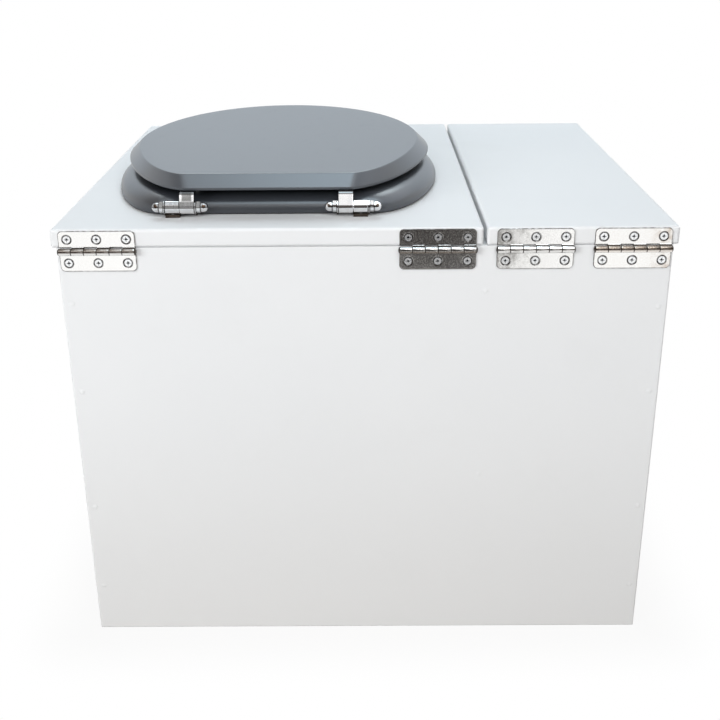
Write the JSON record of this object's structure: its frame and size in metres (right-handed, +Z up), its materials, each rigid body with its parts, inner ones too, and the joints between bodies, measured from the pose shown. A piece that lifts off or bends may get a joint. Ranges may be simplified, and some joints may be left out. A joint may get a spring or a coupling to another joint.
{
  "type": "composting toilet",
  "caption": "Panel box with a hinged seat board, ring and lid over a lift-out bucket, and a hinged lid over a litter compartment.",
  "frame": {"origin": "middle of the box's footprint, on the floor", "axes": "+Z up, +X towards the litter compartment, +Y towards the side a person sits facing; the lid hinges are on the -Y face"},
  "size_m": [0.6, 0.5431, 0.4942],
  "materials": {
    "box_paint": "satin white paint on board",
    "painted_screws": "satin white paint",
    "leaf_steel": "stainless, fine grain",
    "screw_steel": "zinc plated",
    "hinge_chrome": "polished",
    "seat_grey": "semi-gloss moulded wood composite",
    "bumper_rubber": "matte",
    "post_pad": "dark brown spacer",
    "bucket_steel": "spun stainless",
    "grip_wood": "oiled beech"
  },
  "bodies": {
    "cabinet": {"rear_panel": "box_paint", "front_panel": "box_paint", "left_panel": "box_paint", "right_panel": "box_paint", "divider_panel": "box_paint", "floor_panel": "box_paint", "rear_screws": "painted_screws", "front_screws": "painted_screws", "side_screws": "painted_screws", "floor_screws": "screw_steel", "base_leaf_1": "leaf_steel", "base_leaf_2": "leaf_steel", "base_leaf_3": "leaf_steel", "base_leaf_4": "leaf_steel", "hinge_pin_1": "leaf_steel", "hinge_pin_2": "leaf_steel", "hinge_pin_3": "leaf_steel", "hinge_pin_4": "leaf_steel", "base_leaf_screws": "screw_steel", "bucket": "bucket_steel", "bucket_ears": "bucket_steel"},
    "seat_board": {"seat_board": "box_paint", "top_leaf_1": "leaf_steel", "top_leaf_2": "leaf_steel", "seat_board_leaf_screws": "screw_steel", "urine_deflector": "bucket_steel", "deflector_screws": "screw_steel", "seat_posts": "hinge_chrome", "post_pads": "post_pad", "post_washers": "hinge_chrome", "wing_nuts": "hinge_chrome"},
    "litter_lid": {"litter_lid": "box_paint", "top_leaf_3": "leaf_steel", "top_leaf_4": "leaf_steel", "litter_lid_leaf_screws": "screw_steel"},
    "seat_ring": {"seat_ring": "seat_grey", "ring_brackets": "hinge_chrome", "bracket_screws": "screw_steel", "ring_bumpers": "bumper_rubber", "seat_hinge_pins": "hinge_chrome", "cap_nuts": "hinge_chrome"},
    "seat_lid": {"seat_lid": "seat_grey", "lid_straps": "hinge_chrome", "strap_screws": "screw_steel", "lid_bumpers": "bumper_rubber"},
    "bail": {"bail": "bucket_steel", "grip": "grip_wood"}
  },
  "joints": [
    {"name": "seat_board_tilt", "type": "hinge", "parent": "cabinet", "child": "seat_board", "pos_m": [-0.09275, -0.2692, 0.4347], "axis": [1, 0, 0], "range_deg": [0, 105]},
    {"name": "litter_lid_tilt", "type": "hinge", "parent": "cabinet", "child": "litter_lid", "pos_m": [0.2096, -0.2692, 0.4347], "axis": [1, 0, 0], "range_deg": [0, 105]},
    {"name": "seat_ring_tilt", "type": "hinge", "parent": "seat_board", "child": "seat_ring", "pos_m": [-0.09645, -0.2206, 0.4653], "axis": [-1, 0, 0], "range_deg": [-95, 0]},
    {"name": "seat_lid_tilt", "type": "hinge", "parent": "seat_ring", "child": "seat_lid", "pos_m": [-0.09645, -0.2206, 0.4653], "axis": [1, 0, 0], "range_deg": [0, 100]},
    {"name": "bail_swing", "type": "hinge", "parent": "cabinet", "child": "bail", "pos_m": [-0.09325, 0.0155, 0.363], "axis": [1, 0, 0], "range_deg": [0, 52]}
  ]
}
